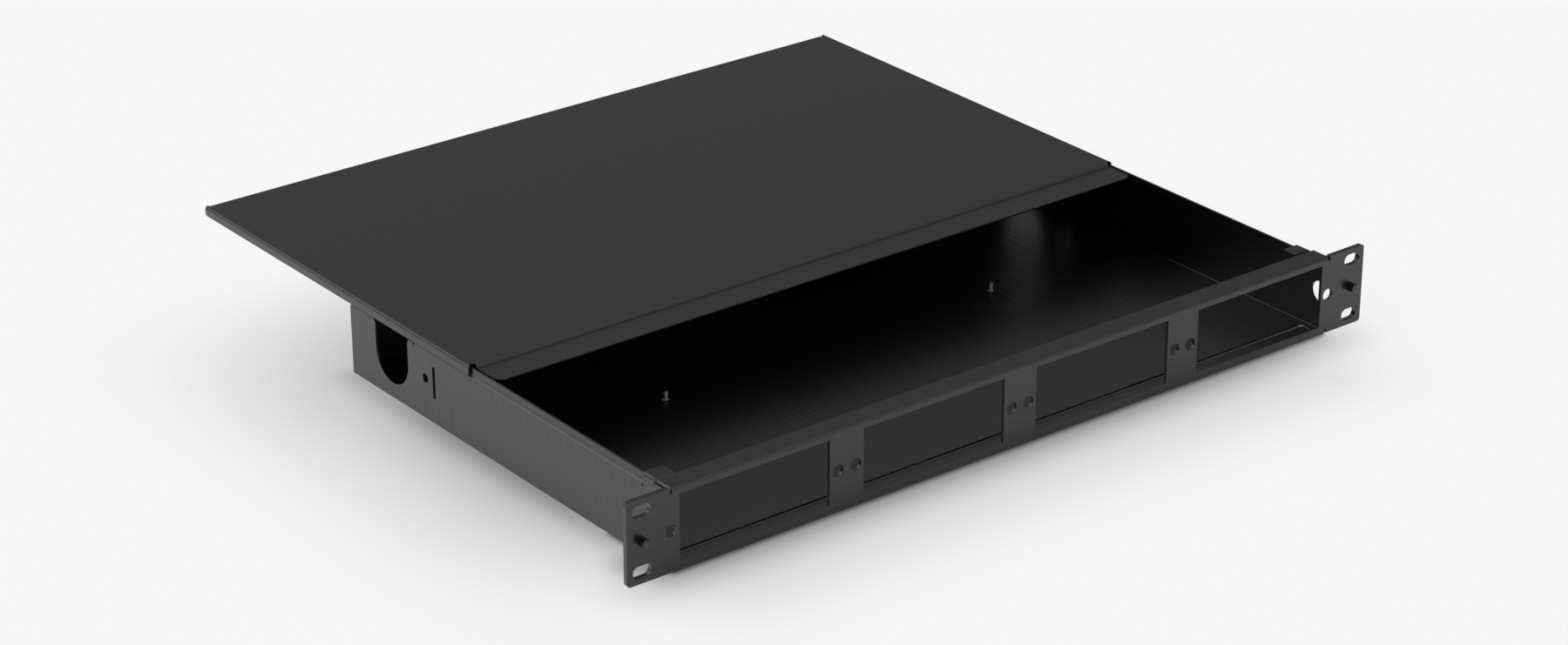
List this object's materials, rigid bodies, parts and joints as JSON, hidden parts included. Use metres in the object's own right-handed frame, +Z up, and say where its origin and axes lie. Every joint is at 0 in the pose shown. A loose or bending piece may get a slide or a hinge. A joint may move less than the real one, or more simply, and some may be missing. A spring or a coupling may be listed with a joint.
{
  "type": "fiber termination box",
  "caption": "Low rack-mount sheet-steel enclosure with open adapter windows along the front, slotted ears, an open tray with side cable entries and a cover that slides off rearwards.",
  "frame": {"origin": "centre of the four rack slots, on the rear face of the ears where they meet the rack rails", "axes": "+X to the right seen from the front, +Y rearwards into the rack, +Z up"},
  "size_m": [0.4826, 0.435, 0.0454],
  "materials": {
    "panel_paint": "satin",
    "tray_paint": "satin",
    "rear_paint": "satin",
    "cover_paint": "satin",
    "ear_stud_finish": "gloss",
    "floor_stud_finish": "satin",
    "screw_finish": "satin",
    "nut_finish": "satin",
    "earth_finish": "satin"
  },
  "bodies": {
    "chassis": {"tray": "tray_paint", "front_panel": "panel_paint", "rear_wall": "rear_paint", "ear_stud_left": "ear_stud_finish", "ear_stud_right": "ear_stud_finish", "floor_stud_left": "floor_stud_finish", "floor_stud_right": "floor_stud_finish", "clinch_nut_left": "nut_finish", "clinch_nut_right": "nut_finish", "earth_stud": "earth_finish", "earth_washer": "earth_finish", "earth_nut": "earth_finish"},
    "cover": {"top_cover": "cover_paint"},
    "screw_left": {"cover_screw_left": "screw_finish"},
    "screw_right": {"cover_screw_right": "screw_finish"}
  },
  "joints": [
    {"name": "cover_slide", "type": "slide", "parent": "chassis", "child": "cover", "axis": [0, 1, 0], "range_m": [-0.1452, 0.105]},
    {"name": "cover_screw_left_turn", "type": "hinge", "parent": "cover", "child": "screw_left", "pos_m": [-0.15, 0.4233, 0.0097], "axis": [0, 1, 0], "continuous": true},
    {"name": "cover_screw_right_turn", "type": "hinge", "parent": "cover", "child": "screw_right", "pos_m": [0.15, 0.4233, 0.0097], "axis": [0, 1, 0], "continuous": true}
  ]
}
